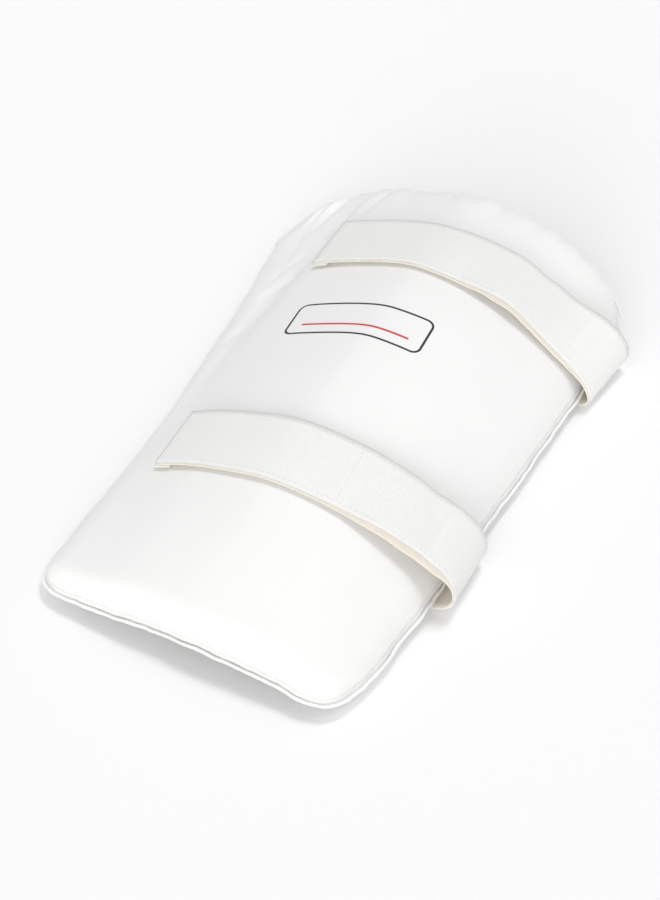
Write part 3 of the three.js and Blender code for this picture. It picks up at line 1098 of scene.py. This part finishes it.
def strap_ripple(place):
    """Unevenness and bends shared by a strap's layers, so that they keep clear of each other."""
    rise = noise.noise(Vector((place.x, place.y, 0.4)) * 34) * 0.35 * MM
    for from_x, from_y, to_x, to_y, width, depth in BENDS:
        if from_y * MM <= place.y <= to_y * MM:
            share = (place.y / MM - from_y) / (to_y - from_y)
            rise -= depth * MM * bell(place.x / MM - (from_x + (to_x - from_x) * share), width)
    sway = noise.noise(Vector((place.x * 0.8, place.z * 0.8, 7.7)) * 45) * 0.6 * MM
    return Vector((0.0, sway, rise))


def elastic_shift(node, place, inside):
    """How the elastic stands out and hangs at a place, which lies some way inside its near edge."""
    shift = Vector((0.0, -ELASTIC_EDGE * clamped(1 - inside / (ELASTIC_EDGE_REACH * MM)), 0.0))
    if place.z > OVER_PAD * MM:
        fall, = table_at(HANG[node], place.x / MM)
        share = eased(1 - inside / (HANG_REACH * MM)) * eased(beyond(place.z / MM, OVER_PAD, HANG_RISE))
        shift += Vector((0.0, -0.4, -1.0)) * fall * share
    return shift * MM


def outer_lines(node):
    """A strap's outer side as lines along it, one for each row of vertices."""
    shape = quads_of(node)
    lines = [[vertex.co.copy() for vertex in run[:len(run) // 2]] for run in strap_rows(shape)]
    shape.free()
    return lines


def make_band(node, piece_name, material, slot):
    """A strap layer: mapped, refined and slightly uneven, and hanging if it is the elastic."""
    shape = quads_of(node)
    length, width = map_strap(shape)
    crease_corners(shape)
    piece = piece_from(shape, piece_name, material, slot, node)
    refine(piece, 2, "NONE")
    mesh = piece.data
    low = min(vertex.co.y for vertex in mesh.vertices)
    high = max(vertex.co.y for vertex in mesh.vertices)
    end_x = min(vertex.co.x for vertex in mesh.vertices if vertex.co.z > OVER_PAD * MM)
    edges = []
    places = []
    for place, _ in places_and_normals(mesh):
        edge = min(place.y - low, high - place.y)
        if place.z > OVER_PAD * MM:
            edge = min(edge, max(0.0, place.x - end_x))
        edges.append(edge)
        uneven = strap_ripple(place) * clamped(beyond(place.z / MM, SWAY_FROM, SWAY_RISE))
        if node in HANG:
            uneven += elastic_shift(node, place, place.y - low)
        places.extend(place + uneven)
    mesh.vertices.foreach_set("co", places)
    float_attribute(mesh, "edge", edges)


class GUARD_OT_straps(bpy.types.Operator):
    """Makes the two straps, each a cloth face on an elastic lining."""

    bl_idname = "guard.straps"
    bl_label = "Straps"

    def execute(self, context):
        face, lining = face_finish(), lining_finish()
        for name in STRAP_NAMES:
            make_band(f"{name}_strap", f"{name}_strap_face", face, "strap_face")
            make_band(f"{name}_strap_lining", f"{name}_strap_elastic", lining, "strap_lining")
        return {"FINISHED"}


class GUARD_OT_tapes(bpy.types.Operator):
    """Makes the hook tapes, the loop tapes and the small end tabs."""

    bl_idname = "guard.tapes"
    bl_label = "Tapes"

    def execute(self, context):
        kinds = (
            ("loop_patch", "loop", tape_finish("loop_tape", 900, 0.98)),
            ("hook_patch", "hook", tape_finish("hook_tape", 1500, 1.0)),
            ("end_tab", "tab", tape_finish("end_tab", 1200, 1.04)),
        )
        for name in STRAP_NAMES:
            for kind, slot, material in kinds:
                node = f"{name}_{kind}"
                shape = quads_of(node)
                crease_corners(shape)
                piece = piece_from(shape, f"{node}_cloth", material, slot, node)
                refine(piece, 2)
                places = []
                for place, _ in places_and_normals(piece.data):
                    places.extend(place + strap_ripple(place))
                piece.data.vertices.foreach_set("co", places)
                self.declare(piece, name, kind)
        return {"FINISHED"}

    def declare(self, piece, name, kind):
        """Does nothing; the tape stays as it is."""


class GUARD_OT_stitches(bpy.types.Operator):
    """Sews the seam beside the welt, the straps' hems and the rows that hold their hook tapes."""

    bl_idname = "guard.stitches"
    bl_label = "Stitches"

    def execute(self, context):
        sizes, _ = settings()
        material = thread_finish()
        cover = surface_of(bpy.data.objects["guard_pad"].data)
        sew([seam_line(sizes.seam_inset, cover)], "cover_stitches", material, "cover", cover)
        for name in STRAP_NAMES:
            self.sew_strap(name, material)
        return {"FINISHED"}

    def sew_strap(self, name, material):
        """Hems along both edges and across the free end, and a row across at the hook tape's end."""
        sizes, _ = settings()
        lines = outer_lines(f"{name}_strap")
        hem = sizes.hem
        width = lines[-1][0].y - lines[0][0].y
        surface = surface_of(bpy.data.objects[f"{name}_strap_face"].data)
        reach = sum((end - start).length for start, end in zip(lines[0], lines[0][1:])) - hem
        near, far = line_across(lines, hem / width), line_across(lines, 1 - hem / width)
        rows = [cut(near, hem, reach), cut(far, hem, reach)]
        tape = max(vertex.co.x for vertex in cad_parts[f"{name}_hook_patch"].data.vertices)
        tape_reach = self.reach_of(line_across(lines, 0.5), tape - TAPE_INSET * MM)
        for distance in (hem, tape_reach):
            along = [line_across(lines, step / ROW_STEPS) for step in range(ROW_STEPS + 1)]
            across = [cut(line, distance, reach)[0] for line in along]
            rows.append(cut(across, hem, width - hem))
        sew(rows, f"{name}_strap_stitches", material, "strap_face", surface)

    def reach_of(self, line, x):
        """Distance along a line to the first point past a place along X."""
        passed = 0.0
        for start, end in zip(line, line[1:]):
            if end.x >= x:
                return passed
            passed += (end - start).length
        raise RuntimeError("the strap ends before its tape")


# The operators in the order in which they run.
OPERATORS = (
    GUARD_OT_stage,
    GUARD_OT_cover,
    GUARD_OT_welt,
    GUARD_OT_straps,
    GUARD_OT_tapes,
    GUARD_OT_stitches,
)


class GUARD_PT_panel(bpy.types.Panel):
    """Lists the steps that dress the guard, and its sizes and colours."""

    bl_label = "Thigh guard"
    bl_idname = "GUARD_PT_panel"
    bl_space_type = "VIEW_3D"
    bl_region_type = "UI"
    bl_category = "Thigh guard"

    def draw(self, context):
        for operator in OPERATORS:
            self.layout.operator(operator.bl_idname)
        scene = context.scene
        for group in (scene.guard_sizes, scene.guard_colours, scene.guard_stage):
            for name in group.__annotations__:
                self.layout.prop(group, name)


CLASSES = (GuardSizes, GuardColours, GuardStage, *OPERATORS, GUARD_PT_panel)


def register():
    """Makes Blender know the classes and gives each scene its settings."""
    for kind in CLASSES:
        bpy.utils.register_class(kind)
    bpy.types.Scene.guard_sizes = PointerProperty(type=GuardSizes)
    bpy.types.Scene.guard_colours = PointerProperty(type=GuardColours)
    bpy.types.Scene.guard_stage = PointerProperty(type=GuardStage)


def unregister():
    """Takes back what register did."""
    del bpy.types.Scene.guard_sizes
    del bpy.types.Scene.guard_colours
    del bpy.types.Scene.guard_stage
    for kind in reversed(CLASSES):
        bpy.utils.unregister_class(kind)


def main():
    register()
    bpy.ops.guard.stage()
    bpy.ops.guard.cover()
    bpy.ops.guard.welt()
    bpy.ops.guard.straps()
    bpy.ops.guard.tapes()
    bpy.ops.guard.stitches()


if __name__ == "__main__":
    main()
